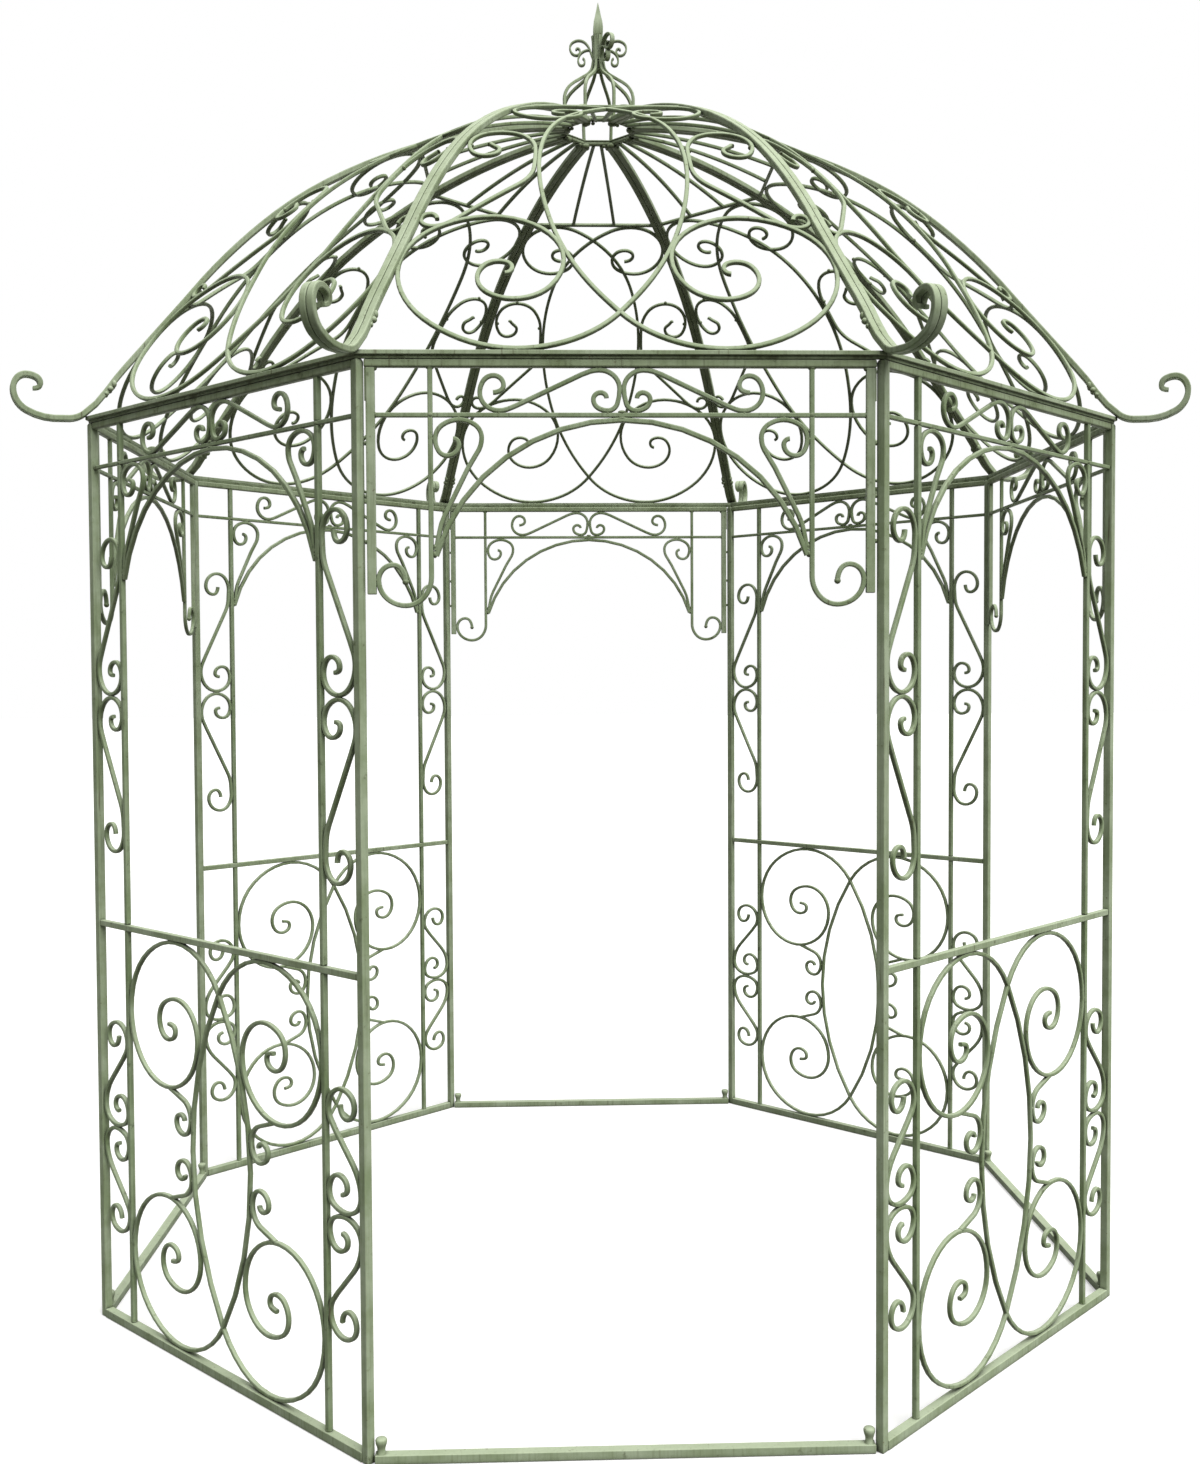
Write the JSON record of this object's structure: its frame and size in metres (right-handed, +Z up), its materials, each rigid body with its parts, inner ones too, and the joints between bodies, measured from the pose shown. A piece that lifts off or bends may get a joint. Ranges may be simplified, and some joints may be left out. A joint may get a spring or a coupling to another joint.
{
  "type": "garden pavilion",
  "caption": "Octagonal open garden pavilion of forged steel scrollwork with square posts, arched valances, low screens, open doorways, a bowed dome roof and a finial.",
  "frame": {"origin": "on the ground in the middle of the octagon, under the finial", "axes": "+Z up, the front doorway faces -Y, +X to the right of a person who looks at the front"},
  "size_m": [2.7582, 2.7582, 3.3231],
  "materials": {
    "painted_iron": "antique sage green paint, worn and brushed with brown"
  },
  "bodies": {
    "root": {"post_front_right_front": "painted_iron", "post_front_right_right": "painted_iron", "post_rear_right_right": "painted_iron", "post_rear_right_rear": "painted_iron", "post_rear_left_rear": "painted_iron", "post_rear_left_left": "painted_iron", "post_front_left_left": "painted_iron", "post_front_left_front": "painted_iron", "threshold_front": "painted_iron", "threshold_right": "painted_iron", "threshold_rear": "painted_iron", "threshold_left": "painted_iron", "balustrade_front_right": "painted_iron", "balustrade_rear_right": "painted_iron", "balustrade_rear_left": "painted_iron", "balustrade_front_left": "painted_iron", "side_grille_front_right_front": "painted_iron", "side_grille_front_right_right": "painted_iron", "side_grille_rear_right_right": "painted_iron", "side_grille_rear_right_rear": "painted_iron", "side_grille_rear_left_rear": "painted_iron", "side_grille_rear_left_left": "painted_iron", "side_grille_front_left_left": "painted_iron", "side_grille_front_left_front": "painted_iron", "valance_front": "painted_iron", "valance_front_right": "painted_iron", "valance_right": "painted_iron", "valance_rear_right": "painted_iron", "valance_rear": "painted_iron", "valance_rear_left": "painted_iron", "valance_left": "painted_iron", "valance_front_left": "painted_iron", "roof_gore_front": "painted_iron", "roof_gore_front_right": "painted_iron", "roof_gore_right": "painted_iron", "roof_gore_rear_right": "painted_iron", "roof_gore_rear": "painted_iron", "roof_gore_rear_left": "painted_iron", "roof_gore_left": "painted_iron", "roof_gore_front_left": "painted_iron", "crown_ring": "painted_iron", "finial": "painted_iron"}
  },
  "joints": []
}
